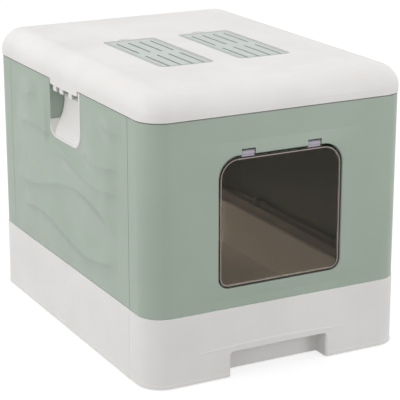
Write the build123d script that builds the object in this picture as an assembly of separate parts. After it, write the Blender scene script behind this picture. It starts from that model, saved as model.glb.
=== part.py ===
from build123d import *
import math
import os

# Folding drawer litter box.  Millimetres, +Z up, front face towards -Y.
# The origin is the middle of the underside.  Right-hand pieces are drawn
# first and the left-hand ones are their mirror images.

# ---- whole object -----------------------------------------------------------
WIDTH = 378.0            # over the foot lip, left to right
DEPTH = 500.0            # over the foot lip, front to back
HEIGHT = 385.0           # floor to the top of the lid
CORNER_R = 34.0          # upright corners in plan, at the foot lip
SEAM = 56.5              # upright seams, behind the front face
FRAME_TOP = 94.6         # ledge of the base on which the walls stand
LID_HEIGHT = 39.0        # lower edge of the lid skirt to the top

# ---- how far each outer skin stands inside the foot lip ----------------------
BASE_INSET = 0.6
PANEL_INSET = 1.5
LID_INSET = 0.3

# ---- walls --------------------------------------------------------------------
BASE_WALL = 3.0
PANEL_WALL = 2.8
LID_WALL = 2.5
PANEL_GAP = 1.6          # walls to the lid skirt
RIM_WALL = 4.3           # thickened band along the top of the walls
RIM_HEIGHT = 8.4
TONGUE_WALL = 2.0        # lip of the walls that stands inside the lid skirt
TONGUE_HEIGHT = 5.6
WELD = 1.0               # how far joined features run into each other

# ---- base frame -----------------------------------------------------------------
FLOOR = 2.6              # base plate
FOOT_LIP = 5.0           # height of the proud strip round the foot
SKIN_GAP = 0.6           # drawer front wrap to the frame inside it
INNER_WALL = 2.6         # frame wall behind the drawer wrap
BASE_EASE = 0.5          # bevel on the top edge of base and drawer
LEDGE_WIDTH = 13.0
LEDGE = 3.0
CROSSBAR = 10.6          # height of the bar over the drawer mouth
CROSSBAR_DEPTH = 16.0
MOUTH_SETBACK = 36.0     # the frame sides stop this far behind the front
RUNNER = 1.2             # height of the slide strips on the base plate
RUNNER_WIDTH = 8.0
RUNNER_SPACING = 240.0

# ---- drawer -----------------------------------------------------------------------
DRAWER_GAP = 0.4         # drawer front to the front wall above it
DRAWER_FOOT = 1.0        # drawer front above the floor
SEAM_GAP = 0.4
TRAY_HEIGHT = 69.8
TRAY_LIFT = 0.4          # tray above the slide strips
TRAY_SIDE_GAP = 1.2      # rolled rim to the frame side
TRAY_BACK_GAP = 5.2
TRAY_WALL = 2.4
TRAY_R = 26.0
TRAY_DRAFT = 2.0         # degrees
RIM_OUT = 3.0            # rolled rim of the tray
RIM_DEEP = 2.6
NOTCH_WIDTH = 143.0
NOTCH_TOP = 33.0
NOTCH_DEPTH = 25.0
NOTCH_WALL = 2.5
NOTCH_R = 5.0
NOTCH_FLARE = 2.0        # eased front edge of the notch
BROW_LENGTH = 217.0      # soft ridge over the finger notch
BROW_SHIFT = -10.5
BROW_UP = 7.0
BROW_RISE = 4.0
BROW_PROUD = 0.6
RIB = 2.0
RIB_X = (105.0, 150.0)

# ---- doorway and flap -----------------------------------------------------------------
DOOR_WIDTH = 180.0
DOOR_HEIGHT = 172.0
DOOR_UP = 26.4           # sill above the base ledge
DOOR_R_HEAD = 28.0
DOOR_R_SILL = 15.0
DOOR_RIB = 8.0           # depth of the frame rib round the doorway
DOOR_RIB_WALL = 2.5
DOOR_EASE = 1.0          # bevel on the front edge of the doorway
SWELL_SIDE = 36.0        # soft rise of the wall face round the doorway
SWELL_DOWN = 15.0
SWELL_UP = 18.0
SWELL_EDGE = 3.0
SWELL_R = 20.0
SWELL_PROUD = 0.9
HOOK_SPACING = 96.0
HOOK_WIDTH = 18.0
HOOK_SIDE_GAP = 1.0
HOOK_RISE = 8.0          # slots above the door head
HOOK_DROP = 3.0          # slots below the door head
BOSS_SIDE = 6.0
BOSS_OVER = 2.5
HANG_BACK = 4.0          # hinge bar behind the face of the front wall
HANG_UP = 2.0            # hinge bar above the door head
HANG_R = 1.8
HANG_FIT = 0.08          # running fit of the hooks on the bar
HOOK_WALL = 1.8
HOOK_MOUTH = 2.0         # slit in each hook for snapping on
HOOK_MOUTH_TURN = -60.0  # degrees below level, at the back
FLAP_GAP = 2.0
FLAP_HEAD_GAP = 3.0
FLAP_SHEET = 1.8
FLAP_FACE = 1.3          # sheet front, behind the wall face
BEAD = 3.0
BEAD_PROUD = 1.0
BEAD_SINK = 0.5

# ---- fold-in side walls ---------------------------------------------------------------------
FOLD_IN = 8.0            # hinge line behind the side wall face
FOLD_UP = 5.4            # hinge line above the base ledge
ROD_R = 2.0
ROD_FIT = 0.08           # running fit in the knuckles that turn
ROD_SEAT = 0.02          # seat in the lugs that hold it
KNUCKLE_R = 4.2
KNUCKLE_LENGTH = 16.0
KNUCKLE_COUNT = 2
KNUCKLE_SPACING = 230.0
LUG_LENGTH = 6.0
LUG_GAP = 0.5
LUG_EASE = 2.0
ARM = 4.0                # thickness of the arms that carry the knuckles
SIDE_LIFT = 0.8          # side wall above the base ledge
SIDE_LAP = 7.0           # side wall edge behind the front and rear walls
LAP_WALL = 2.4
LAP_GAP = 0.5
LAP_FOOT = 10.0

# ---- finger recess in each side wall --------------------------------------------------------
RECESS_WIDTH = 98.0
RECESS_SHIFT = 1.0
RECESS_HEIGHT = 77.0     # below the lid skirt
RECESS_DEPTH = 22.0
RECESS_RUN = 48.0        # height over which the floor runs out to the face
RECESS_R = 20.0
RECESS_WALL = 2.4
LINER = 1.2              # white liner on the floor of the recess
LINER_GAP = 0.06
LINER_TOP = 8.0          # liner edge below the keeper bar
LINER_RIM = 2.6          # width of its rim on the wall face
LINER_PROUD = 0.8
BAR_IN = 6.5             # keeper bar behind the side wall face
BAR_DROP = 15.0          # keeper bar below the lid skirt
BAR_R = 2.5

# ---- pressed waves on the side walls ----------------------------------------------------------
# Each crest follows a sine: how far its middle line lies below the lid
# skirt, its swing, where it is highest, half its wave length, where it
# starts and ends along the wall, and the width of the hollow under it.
WAVE_DEEP = 0.7
WAVE_POINTS = 7          # along a crest, odd, as each arc takes three
WAVES = (
    (47.0, 17.0, 92.0, 125.0, 88.0, 170.0, 12.0),
    (96.0, 20.0, 108.0, 208.0, -168.0, 178.0, 15.0),
    (77.0, 8.0, -215.0, 118.0, -174.0, -52.0, 10.0),
    (25.0, 6.0, -235.0, 85.0, -184.0, -98.0, 9.0),
    (151.0, 16.0, -30.0, 185.0, -166.0, 176.0, 16.0),
    (208.0, 11.5, 92.0, 154.0, -164.0, 164.0, 15.0),
)

# ---- pins of the front and rear walls -----------------------------------------------------------
PIN_SPACING = 236.0
PIN_LENGTH = 44.0
PIN_BACK = 14.0          # pin line behind the wall face

# ---- lid ----------------------------------------------------------------------------------------
TAB_DROP = 7.5           # tab below the skirt
TAB_GAP = 4.0            # tab to each side of the recess
TAB_R = 3.0
CLIP_SIDE = 4.0          # clip plate inside the tab, at each end
CLIP_RISE = 4.0          # clip plate above the skirt edge
CLIP_FINGER = 11.0
CLIP_PLACES = (-17.0, 13.0, 35.0)    # middles of the fingers along the recess
CLIP_GAP = 0.3
CLIP_WALL = 2.2
CLIP_REACH = 15.0        # degrees past the middle of the bar
VENT_SPACING = 116.0
VENT_WIDTH = 80.0
VENT_LENGTH = 185.0
VENT_SHIFT = -15.5
VENT_R = 10.0
VENT_WALL = 2.0
POCKET_DEPTH = 21.0
POCKET_SHEET = 2.0
COVER_GAP = 0.4
COVER_DROP = 4.8         # cover below the top of the lid
COVER_SHEET = 2.4
COVER_HINGE = 10.5       # hinge line behind the front edge of the pocket
COVER_PIN_R = 1.1
COVER_PIN_IN = 7.0       # root of each hinge stub inside the cover
COVER_PIN_FIT = 0.08
COVER_PIN_OUT = 1.8
SHELF_GAP = 0.3
SHELF_WIDTH = 3.0
SHELF_DEEP = 3.0
SHELF_START = 20.0       # behind the front edge of the pocket
SLIT_WIDTH = 3.0
SLIT_LENGTH = 71.0
SLIT_EASE = 0.9
SLIT_PITCH = 17.0
SLIT_COUNT = 4
SLIT_ROW_PITCH = 90.0
SLIT_SHIFT = -7.5        # middle of the slits from the middle of the cover
THUMB_R = 16.0
THUMB_RISE = 8.0
PAD_SIDE_GAP = 5.0
PAD_FRONT_GAP = 22.0
PAD_HEIGHT = 8.0
PAD_LIFT = 0.3
PAD_R = 6.0

# ---- worked out from the sizes above ---------------------------------------------------------
HALF_W = WIDTH / 2
HALF_D = DEPTH / 2
FACE_X = HALF_W - PANEL_INSET
FACE_Y = HALF_D - PANEL_INSET
SEAM_Y = HALF_D - SEAM
FRAME_IN = BASE_INSET + BASE_WALL + SKIN_GAP
MOUTH_Y = -HALF_D + MOUTH_SETBACK
LID_FOOT = HEIGHT - LID_HEIGHT
SHOULDER_R = CORNER_R - LID_INSET      # shoulder as round as the upright corners
PANEL_TOP = LID_FOOT - PANEL_GAP
TRAY_HALF = HALF_W - FRAME_IN - INNER_WALL - TRAY_SIDE_GAP - RIM_OUT
TRAY_BACK = HALF_D - FRAME_IN - INNER_WALL - TRAY_BACK_GAP
TRAY_Z = FLOOR + RUNNER + TRAY_LIFT
DOOR_SILL = FRAME_TOP + DOOR_UP
DOOR_HEAD = DOOR_SILL + DOOR_HEIGHT
HANG_Y = -FACE_Y + HANG_BACK
HANG_Z = DOOR_HEAD + HANG_UP
FOLD_X = FACE_X - FOLD_IN
FOLD_Z = FRAME_TOP + FOLD_UP
PIN_Y = FACE_Y - PIN_BACK
RECESS_FRONT = RECESS_SHIFT - RECESS_WIDTH / 2
RECESS_BACK = RECESS_SHIFT + RECESS_WIDTH / 2
BAR_X = FACE_X - BAR_IN
BAR_Z = LID_FOOT - BAR_DROP
VENT_X = VENT_SPACING / 2
VENT_FRONT = VENT_SHIFT - VENT_LENGTH / 2
VENT_BACK = VENT_SHIFT + VENT_LENGTH / 2
POCKET_FLOOR = HEIGHT - POCKET_DEPTH
COVER_TOP = HEIGHT - COVER_DROP
COVER_FOOT = COVER_TOP - COVER_SHEET
FAR = WIDTH + DEPTH + HEIGHT    # longer than anything that is cut


def plan_block(inset, bottom, top):
    """Solid with the object's rounded plan, drawn in by inset."""
    sketch = RectangleRounded(
        WIDTH - 2 * inset, DEPTH - 2 * inset, CORNER_R - inset
    )
    return Pos(0, 0, bottom) * extrude(sketch, top - bottom)


def plan_ring(inset, wall, bottom, top):
    """Upright wall that follows the object's rounded plan."""
    return plan_block(inset, bottom, top) - plan_block(inset + wall, bottom, top)


def block(x0, x1, y0, y1, z0, z1):
    """Box between the given limits."""
    middle = Pos((x0 + x1) / 2, (y0 + y1) / 2, (z0 + z1) / 2)
    return middle * Box(abs(x1 - x0), abs(y1 - y0), abs(z1 - z0))


def rod_along_y(x, z, radius, y0, y1):
    """Cylinder from y0 to y1."""
    middle = Pos(x, (y0 + y1) / 2, z) * Rot(90, 0, 0)
    return middle * Cylinder(radius, y1 - y0)


def rod_along_x(y, z, radius, x0, x1):
    """Cylinder from x0 to x1."""
    middle = Pos((x0 + x1) / 2, y, z) * Rot(0, 90, 0)
    return middle * Cylinder(radius, abs(x1 - x0))


def left_of(shape):
    """Mirror image for the left-hand side."""
    return mirror(shape, Plane.YZ)


def both(shape):
    """A feature and its mirror image."""
    return shape + left_of(shape)


# ---- base -------------------------------------------------------------------------
def eased_block(top):
    """Body of the base up to its eased top edge."""
    body = plan_block(BASE_INSET, 0, top)
    return chamfer(body.edges().group_by(Axis.Z)[-1], BASE_EASE)


def knuckle_places():
    """Middles of the knuckles along a side wall."""
    middle = (KNUCKLE_COUNT - 1) / 2
    return [(i - middle) * KNUCKLE_SPACING for i in range(KNUCKLE_COUNT)]


def fold_lug(near):
    """Lug on the right ledge that holds the fold rod."""
    far = near + LUG_LENGTH
    post = block(
        FOLD_X - KNUCKLE_R, FOLD_X + KNUCKLE_R,
        near, far, FRAME_TOP - WELD, FOLD_Z + KNUCKLE_R
    )
    post = chamfer(post.edges().filter_by(Axis.Y).group_by(Axis.Z)[-1], LUG_EASE)
    return post - rod_along_y(FOLD_X, FOLD_Z, ROD_R + ROD_SEAT, near - WELD, far + WELD)


def fold_lugs():
    """A lug on each side of every knuckle of the right side wall."""
    reach = KNUCKLE_LENGTH / 2 + LUG_GAP
    lugs = Part()
    for y in knuckle_places():
        lugs += fold_lug(y - reach - LUG_LENGTH)
        lugs += fold_lug(y + reach)
    return lugs


def pin_lugs(y):
    """Lugs that hold the right-hand pin of the front or rear wall."""
    middle = PIN_SPACING / 2
    end = PIN_LENGTH / 2
    lugs = Part()
    for near in (middle - end, middle + end - LUG_LENGTH):
        far = near + LUG_LENGTH
        post = block(
            near, far, y - KNUCKLE_R, y + KNUCKLE_R, FRAME_TOP - WELD, FOLD_Z + KNUCKLE_R
        )
        post = chamfer(post.edges().filter_by(Axis.X).group_by(Axis.Z)[-1], LUG_EASE)
        lugs += post - rod_along_x(y, FOLD_Z, ROD_R + ROD_SEAT, near - WELD, far + WELD)
    return lugs


def base_frame():
    """Base with flat plate, side and rear skirt, ledge and drawer mouth."""
    behind_seam = block(-FAR, FAR, -SEAM_Y, FAR, -FAR, FAR)
    skirt = plan_ring(0, BASE_INSET + BASE_WALL, 0, FOOT_LIP)
    skirt += eased_block(FRAME_TOP) - plan_block(FRAME_IN + INNER_WALL, 0, FRAME_TOP)
    skirt &= behind_seam
    inner = plan_ring(FRAME_IN, INNER_WALL, 0, FRAME_TOP)
    inner -= block(-FAR, FAR, -FAR, MOUTH_Y, -FAR, FRAME_TOP - CROSSBAR)
    plate = plan_block(FRAME_IN, 0, FLOOR)
    plate &= block(-FAR, FAR, MOUTH_Y, FAR, -FAR, FAR)
    plate += plan_block(BASE_INSET, 0, FLOOR) & behind_seam
    ledge = plan_ring(FRAME_IN, LEDGE_WIDTH, FRAME_TOP - LEDGE, FRAME_TOP)
    bar = plan_block(FRAME_IN, FRAME_TOP - CROSSBAR, FRAME_TOP)
    bar &= block(-FAR, FAR, -FAR, -HALF_D + FRAME_IN + CROSSBAR_DEPTH, -FAR, FAR)
    frame = skirt + inner + plate + ledge + bar
    runner_x = RUNNER_SPACING / 2
    frame += both(
        block(
            runner_x - RUNNER_WIDTH / 2, runner_x + RUNNER_WIDTH / 2,
            MOUTH_Y, TRAY_BACK, FLOOR - WELD, FLOOR + RUNNER
        )
    )
    frame += both(fold_lugs())
    frame += both(pin_lugs(-PIN_Y))
    return frame + both(pin_lugs(PIN_Y))


def right_fold_rod():
    """Rod on which the right wall folds."""
    end = knuckle_places()[-1] + KNUCKLE_LENGTH / 2 + LUG_GAP + LUG_LENGTH
    return rod_along_y(FOLD_X, FOLD_Z, ROD_R, -end, end)


def wall_pins(y):
    """The two pins of the front or rear wall."""
    middle = PIN_SPACING / 2
    end = PIN_LENGTH / 2
    return both(rod_along_x(y, FOLD_Z, ROD_R, middle - end, middle + end))


# ---- drawer ------------------------------------------------------------------------
def notch_cut():
    """Finger notch with round upper corners and an eased front edge."""
    half = NOTCH_WIDTH / 2
    notch = block(-half, half, -FAR, -HALF_D + NOTCH_DEPTH, -FAR, NOTCH_TOP)
    notch = fillet(notch.edges().filter_by(Axis.Y).group_by(Axis.Z)[-1], NOTCH_R)
    mouth = -HALF_D + BASE_INSET
    wide = NOTCH_WIDTH + 4 * NOTCH_FLARE
    tall = 2 * (NOTCH_TOP + 2 * NOTCH_FLARE)
    outer = Pos(0, mouth - NOTCH_FLARE, 0) * Rot(90, 0, 0)
    outer *= RectangleRounded(wide, tall, NOTCH_R + 2 * NOTCH_FLARE)
    inner = Pos(0, mouth + NOTCH_FLARE, 0) * Rot(90, 0, 0)
    inner *= RectangleRounded(NOTCH_WIDTH, 2 * NOTCH_TOP, NOTCH_R)
    return notch + loft([outer, inner])


def brow():
    """Low ridge over the notch, dying away at both ends."""
    start = BROW_SHIFT - BROW_LENGTH / 2
    end = BROW_SHIFT + BROW_LENGTH / 2
    foot = NOTCH_TOP + BROW_UP
    upper = Spline((start, foot), (BROW_SHIFT, foot + BROW_RISE), (end, foot))
    lens = make_face(upper + Line((end, foot), (start, foot)))
    face = Plane(
        origin=(0, -HALF_D + BASE_INSET + WELD, 0), x_dir=(1, 0, 0), z_dir=(0, -1, 0)
    )
    return extrude(face * lens, WELD + BROW_PROUD)


def drawer_front():
    """Front skin that wraps both corners, with a finger notch at the foot."""
    skin = eased_block(FRAME_TOP - DRAWER_GAP)
    skin -= plan_block(BASE_INSET + BASE_WALL, 0, FRAME_TOP)
    skin -= plan_block(0, 0, DRAWER_FOOT)
    skin += plan_ring(0, BASE_WALL, DRAWER_FOOT, FOOT_LIP)
    skin &= block(-FAR, FAR, -FAR, -SEAM_Y - SEAM_GAP, -FAR, FAR)
    half = NOTCH_WIDTH / 2 + NOTCH_WALL
    hood = block(
        -half, half, -HALF_D + BASE_INSET, -HALF_D + NOTCH_DEPTH + NOTCH_WALL,
        DRAWER_FOOT, NOTCH_TOP + NOTCH_WALL
    )
    front = skin + hood
    for x in RIB_X:
        front += both(
            block(
                x - RIB / 2, x + RIB / 2, -HALF_D + BASE_INSET + WELD, MOUTH_Y,
                TRAY_Z + RIB, TRAY_Z + TRAY_HEIGHT - RIM_DEEP
            )
        )
    return front + brow() - notch_cut()


def drawer_tray():
    """Deep tray with drafted walls and a turned-out rim."""
    length = TRAY_BACK - MOUTH_Y
    middle = (TRAY_BACK + MOUTH_Y) / 2
    shrink = TRAY_HEIGHT * math.tan(math.radians(TRAY_DRAFT))
    inside = shrink + TRAY_WALL
    foot = RectangleRounded(
        2 * (TRAY_HALF - shrink), length - 2 * shrink, TRAY_R - shrink
    )
    hollow_foot = RectangleRounded(
        2 * (TRAY_HALF - inside), length - 2 * inside, TRAY_R - inside
    )
    rim = RectangleRounded(
        2 * (TRAY_HALF + RIM_OUT), length + RIM_OUT, TRAY_R + RIM_OUT
    )
    body = extrude(foot, TRAY_HEIGHT, taper=-TRAY_DRAFT)
    body += Pos(0, RIM_OUT / 2, TRAY_HEIGHT - RIM_DEEP) * extrude(rim, RIM_DEEP)
    hollow = extrude(hollow_foot, TRAY_HEIGHT, taper=-TRAY_DRAFT)
    return Pos(0, middle, TRAY_Z) * (body - Pos(0, 0, TRAY_WALL) * hollow)


# ---- front and rear walls -------------------------------------------------------------
def end_wall():
    """Wall that wraps both corners, as it stands at the front."""
    rim_foot = PANEL_TOP - RIM_HEIGHT
    wall = plan_ring(PANEL_INSET, PANEL_WALL, FRAME_TOP, PANEL_TOP)
    wall += plan_ring(PANEL_INSET, RIM_WALL, rim_foot, PANEL_TOP)
    wall += plan_ring(
        PANEL_INSET + RIM_WALL - TONGUE_WALL, TONGUE_WALL,
        PANEL_TOP - WELD, PANEL_TOP + TONGUE_HEIGHT
    )
    wall &= block(-FAR, FAR, -FAR, -SEAM_Y - SEAM_GAP / 2, 0, FAR)
    # The thick rim stops where the side wall edge laps behind this one.
    lap_end = -SEAM_Y - SIDE_LAP - 2 * LAP_GAP
    inner = FACE_X - PANEL_WALL
    wall -= both(block(inner - RIM_WALL, inner, lap_end, FAR, rim_foot - WELD, FAR))
    middle = PIN_SPACING / 2
    half = PIN_LENGTH / 2 - LUG_LENGTH - LUG_GAP
    arm = block(
        middle - half, middle + half,
        -FACE_Y + WELD, -PIN_Y, FOLD_Z - ARM / 2, FOLD_Z + ARM / 2
    )
    arm += rod_along_x(-PIN_Y, FOLD_Z, KNUCKLE_R, middle - half, middle + half)
    arm -= rod_along_x(-PIN_Y, FOLD_Z, ROD_R + ROD_SEAT, 0, FAR)
    return wall + both(arm)


def doorway(grow, y0, y1, low=DOOR_SILL, high=DOOR_HEAD):
    """Doorway outline, grown outwards, as a solid from y0 to y1."""
    half = DOOR_WIDTH / 2 + grow
    solid = block(-half, half, y0, y1, low - grow, high + grow)
    corners = solid.edges().filter_by(Axis.Y).group_by(Axis.Z)
    solid = fillet(corners[-1], DOOR_R_HEAD + grow)
    corners = solid.edges().filter_by(Axis.Y).group_by(Axis.Z)
    return fillet(corners[0], DOOR_R_SILL + grow)


def hinge_places():
    """Middles of the two flap hooks."""
    return (-HOOK_SPACING / 2, HOOK_SPACING / 2)


def swell_outline(side, down, up, y):
    """Rounded rectangle round the doorway in the upright plane at y."""
    height = DOOR_HEIGHT + down + up
    middle = Plane(
        origin=(0, y, DOOR_SILL - down + height / 2), x_dir=(1, 0, 0), z_dir=(0, -1, 0)
    )
    return middle * RectangleRounded(DOOR_WIDTH + 2 * side, height, SWELL_R)


def door_swell(face):
    """Soft rise of the wall towards the doorway, widest at the sides."""
    foot = swell_outline(SWELL_SIDE, SWELL_DOWN, SWELL_UP, face)
    crest = swell_outline(SWELL_EDGE, SWELL_EDGE, SWELL_EDGE, face - SWELL_PROUD)
    return loft([foot, crest])


def door_cut(face, deep):
    """Space of the doorway with a bevelled front edge."""
    front = face - SWELL_PROUD
    bevel = doorway(DOOR_EASE, -FAR, front + DOOR_EASE)
    bevel = chamfer(bevel.faces().sort_by(Axis.Y)[-1].edges(), DOOR_EASE)
    return doorway(0, -FAR, deep + WELD) + bevel


def front_panel():
    """Front wall with ribbed doorway, slots and the bar the flap hangs on."""
    face = -FACE_Y
    deep = face + DOOR_RIB
    slot = HOOK_WIDTH / 2 + HOOK_SIDE_GAP
    wall = end_wall() + doorway(DOOR_RIB_WALL, face, deep) + door_swell(face)
    for x in hinge_places():
        wall += block(
            x - slot - BOSS_SIDE, x + slot + BOSS_SIDE,
            face, deep, DOOR_HEAD, DOOR_HEAD + HOOK_RISE + BOSS_OVER
        )
    wall -= door_cut(face, deep)
    for x in hinge_places():
        wall -= block(
            x - slot, x + slot, face - 2 * WELD, deep + WELD,
            DOOR_HEAD - HOOK_DROP, DOOR_HEAD + HOOK_RISE
        )
        wall += rod_along_x(HANG_Y, HANG_Z, HANG_R, x - slot - WELD, x + slot + WELD)
    return wall


def rear_panel():
    """Plain rear wall."""
    return Rot(0, 0, 180) * end_wall()


def hook(x, front, back):
    """One flap hook: a split ring on the hinge bar with a stem below."""
    x0 = x - HOOK_WIDTH / 2
    x1 = x + HOOK_WIDTH / 2
    bore = HANG_R + HANG_FIT
    ring = rod_along_x(HANG_Y, HANG_Z, bore + HOOK_WALL, x0, x1)
    ring += block(x0, x1, front, back, DOOR_HEAD - FLAP_HEAD_GAP - WELD, HANG_Z - HANG_R)
    ring -= rod_along_x(HANG_Y, HANG_Z, bore, x0 - WELD, x1 + WELD)
    reach = bore + 2 * HOOK_WALL
    slit = Pos(x, HANG_Y, HANG_Z) * Rot(HOOK_MOUTH_TURN, 0, 0)
    slit *= Pos(0, reach / 2, 0) * Box(HOOK_WIDTH + 2 * WELD, reach, HOOK_MOUTH)
    return ring - slit


def flap():
    """Clear flap with a beaded edge and two hooks over the hinge bar."""
    front = -FACE_Y + FLAP_FACE
    back = front + FLAP_SHEET
    head = DOOR_HEAD + FLAP_GAP - FLAP_HEAD_GAP
    piece = doorway(-FLAP_GAP, front, back, high=head)
    bead = doorway(-FLAP_GAP, front - BEAD_PROUD, front + BEAD_SINK, high=head)
    bead -= doorway(-FLAP_GAP - BEAD, -FAR, front + WELD, high=head)
    piece += bead
    for x in hinge_places():
        piece += hook(x, front, back)
    return piece


# ---- side walls --------------------------------------------------------------------------
def recess_block(grow):
    """Scooped finger recess, deep at the top and running out at the foot.

    The side view is an arc that is upright at full depth and runs out to the
    wall face at the foot; the front view has two round corners.  The block
    is what the two shapes share.
    """
    foot = LID_FOOT - RECESS_HEIGHT - grow
    back = FACE_X - RECESS_DEPTH - grow
    over = LID_FOOT + RECESS_DEPTH
    turn = foot + RECESS_RUN
    floor = TangentArc((back, turn), (FACE_X, foot), tangent=(0, -1))
    sides = floor + Polyline(
        (FACE_X, foot), (FACE_X + WELD, foot), (FACE_X + WELD, over),
        (back, over), (back, turn)
    )
    end = Plane(
        origin=(0, RECESS_BACK + grow, 0), x_dir=(1, 0, 0), z_dir=(0, -1, 0)
    )
    scoop = extrude(end * make_face(sides), RECESS_WIDTH + 2 * grow)
    mask = block(
        back - WELD, FACE_X + 2 * WELD, RECESS_FRONT - grow, RECESS_BACK + grow,
        foot, over + WELD
    )
    lower = mask.edges().filter_by(Axis.X).group_by(Axis.Z)[0]
    return scoop & fillet(lower, RECESS_R + grow)


def arcs_through(points):
    """Chain of arcs, each through three neighbouring points."""
    chain = Curve()
    for i in range(0, len(points) - 2, 2):
        chain += ThreePointArc(*points[i:i + 3])
    return chain


def wave_hollow(drop, swing, crest_y, half_length, start, end, width):
    """Shallow hollow under one wave crest, widest in the middle."""
    crest = []
    under = []
    for i in range(WAVE_POINTS):
        part = i / (WAVE_POINTS - 1)
        y = start + (end - start) * part
        z = LID_FOOT - drop + swing * math.cos(math.pi * (y - crest_y) / half_length)
        crest.append((y, z))
        under.append((y, z - width * math.sin(math.pi * part)))
    under.reverse()
    lens = make_face(arcs_through(crest) + arcs_through(under))
    face = Plane(
        origin=(FACE_X - WAVE_DEEP, 0, 0), x_dir=(0, 1, 0), z_dir=(1, 0, 0)
    )
    return extrude(face * lens, WAVE_DEEP + WELD)


def right_side_panel():
    """Side wall with pressed waves, finger recess, laps and knuckles."""
    edge = SEAM_Y - SEAM_GAP
    inner = FACE_X - PANEL_WALL
    foot = FRAME_TOP + SIDE_LIFT
    rim_foot = PANEL_TOP - RIM_HEIGHT
    wall = block(inner, FACE_X, -edge, edge, foot, PANEL_TOP)
    wall += block(FACE_X - RIM_WALL, FACE_X, -edge, edge, rim_foot, PANEL_TOP)
    wall += block(
        FACE_X - RIM_WALL, FACE_X - RIM_WALL + TONGUE_WALL,
        -edge, edge, PANEL_TOP - WELD, PANEL_TOP + TONGUE_HEIGHT
    )
    # Each upright edge has a strip that lies behind the front or rear wall.
    lap = inner - LAP_GAP
    for side in (-1, 1):
        root = side * (edge - SIDE_LAP)
        tip = side * (edge + SIDE_LAP)
        wall += block(lap - LAP_WALL, lap, root, tip, foot + LAP_FOOT, rim_foot)
        wall += block(lap - WELD, inner + WELD, root, side * edge, foot + LAP_FOOT, rim_foot)
    cup = recess_block(RECESS_WALL)
    wall += cup & block(-FAR, FACE_X, -FAR, FAR, 0, PANEL_TOP)
    wall -= recess_block(0)
    wall -= rod_along_y(
        BAR_X, BAR_Z, BAR_R + ROD_SEAT,
        RECESS_FRONT - 2 * RECESS_WALL, RECESS_BACK + 2 * RECESS_WALL
    )
    for y in knuckle_places():
        near = y - KNUCKLE_LENGTH / 2
        far = y + KNUCKLE_LENGTH / 2
        knuckle = rod_along_y(FOLD_X, FOLD_Z, KNUCKLE_R, near, far)
        knuckle += block(
            FOLD_X, inner + WELD, near, far, FOLD_Z - ARM / 2, FOLD_Z + ARM / 2
        )
        wall += knuckle - rod_along_y(
            FOLD_X, FOLD_Z, ROD_R + ROD_FIT, near - WELD, far + WELD
        )
    for wave in WAVES:
        wall -= wave_hollow(*wave)
    return wall


def right_keeper_bar():
    """Bar across the finger recess that the lid clip holds."""
    return rod_along_y(
        BAR_X, BAR_Z, BAR_R, RECESS_FRONT - RECESS_WALL, RECESS_BACK + RECESS_WALL
    )


def recess_outline(grow, x0, x1):
    """Front view of the recess, grown outwards, as a solid from x0 to x1."""
    plate = block(
        x0, x1, RECESS_FRONT - grow, RECESS_BACK + grow,
        LID_FOOT - RECESS_HEIGHT - grow, LID_FOOT + RECESS_DEPTH
    )
    lower = plate.edges().filter_by(Axis.X).group_by(Axis.Z)[0]
    return fillet(lower, RECESS_R + grow)


def right_recess_liner():
    """Liner on the floor and front side of the recess, with a rim.

    The rear side of the recess stays bare.  The rim lies on the wall face
    below and in front, and the front side has a hole for the keeper bar.
    """
    inside = -LINER_GAP - LINER
    face = FACE_X + LINER_GAP
    liner = recess_block(-LINER_GAP) - recess_block(inside)
    rim = recess_outline(LINER_RIM, face, face + LINER_PROUD)
    rim = chamfer(rim.faces().sort_by(Axis.X)[-1].edges(), LINER_PROUD / 2)
    rim -= recess_outline(inside, face - WELD, face + 2 * WELD)
    liner += rim
    liner -= block(-FAR, FAR, RECESS_BACK + inside, FAR, 0, FAR)
    liner -= block(-FAR, FAR, RECESS_FRONT - inside, FAR, BAR_Z - LINER_TOP, FAR)
    liner -= block(-FAR, FAR, -FAR, FAR, PANEL_TOP, FAR)
    return liner - rod_along_y(BAR_X, BAR_Z, BAR_R + ROD_SEAT, -HALF_D, HALF_D)


# ---- lid ------------------------------------------------------------------------------------
def lid_dome(inset, bottom, top, radius):
    """Lid body with a large soft shoulder."""
    body = plan_block(inset, bottom, top)
    return fillet(body.edges().group_by(Axis.Z)[-1], radius)


def vent_outline(shrink, bottom, top):
    """Right-hand vent outline as a solid."""
    sketch = RectangleRounded(
        VENT_WIDTH - 2 * shrink, VENT_LENGTH - 2 * shrink, VENT_R - shrink
    )
    return Pos(VENT_X, VENT_SHIFT, bottom) * extrude(sketch, top - bottom)


def slits(bottom, top, ease=0):
    """Two rows of air slits of the right-hand vent, with bevelled corners."""
    cuts = Part()
    for row in (-SLIT_ROW_PITCH / 2, SLIT_ROW_PITCH / 2):
        y = VENT_SHIFT + SLIT_SHIFT + row
        for i in range(SLIT_COUNT):
            x = VENT_X + (i - (SLIT_COUNT - 1) / 2) * SLIT_PITCH
            slit = block(
                x - SLIT_WIDTH / 2, x + SLIT_WIDTH / 2,
                y - SLIT_LENGTH / 2, y + SLIT_LENGTH / 2, bottom, top
            )
            if ease:
                slit = chamfer(slit.edges().filter_by(Axis.Z), ease)
            cuts += slit
    return cuts


def thumb_ball(radius):
    """Ball that shapes the thumb scoop behind the right-hand cover."""
    ball = Pos(VENT_X, VENT_BACK, HEIGHT + THUMB_RISE) * Sphere(radius)
    return ball & block(-FAR, FAR, VENT_BACK - VENT_WALL / 2, FAR, 0, FAR)


def vent_pocket_body():
    """Walls of the pocket that hangs under the lid for the filter pad."""
    body = vent_outline(-VENT_WALL, POCKET_FLOOR, HEIGHT - LID_WALL / 2)
    cup = thumb_ball(THUMB_R + VENT_WALL)
    return body + (cup & block(-FAR, FAR, -FAR, FAR, 0, HEIGHT - LID_WALL / 2))


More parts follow.
